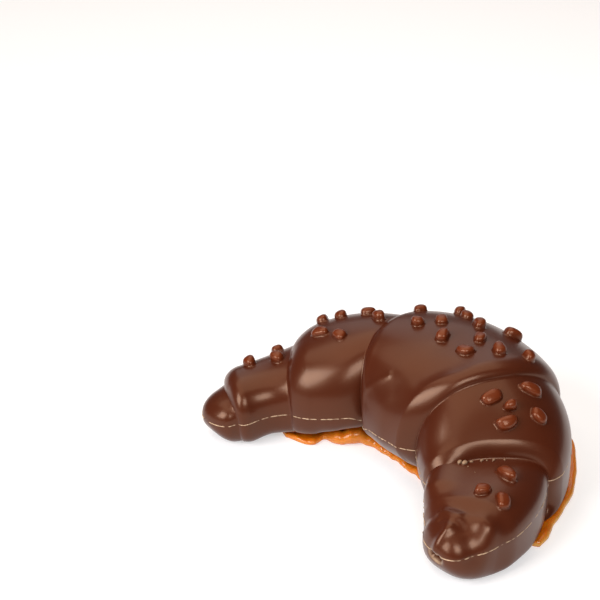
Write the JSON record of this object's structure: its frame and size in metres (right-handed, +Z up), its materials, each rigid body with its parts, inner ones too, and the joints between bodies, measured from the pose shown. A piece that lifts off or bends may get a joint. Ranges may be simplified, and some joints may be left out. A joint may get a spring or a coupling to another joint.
{
  "type": "croissant",
  "caption": "Moulded dark-brown croissant, a tapering crescent of overlapping rolls with raised nibs on top, lying on a thin amber base sheet.",
  "frame": {"origin": "bottom centre of the whole part, on the surface that it lies on", "axes": "+Z up, +X from the thinner tip's side to the thicker tip's side across the crescent, both tips point toward -Y"},
  "size_m": [0.1182, 0.0852, 0.0427],
  "materials": {
    "brown_crust": "moulded chocolate-brown crust, satin gloss",
    "amber_sheet": "thin translucent amber sheet, glossy, with paler yellow edges"
  },
  "bodies": {
    "root": {"coated_body": "brown_crust", "base_sheet": "amber_sheet"}
  },
  "joints": []
}
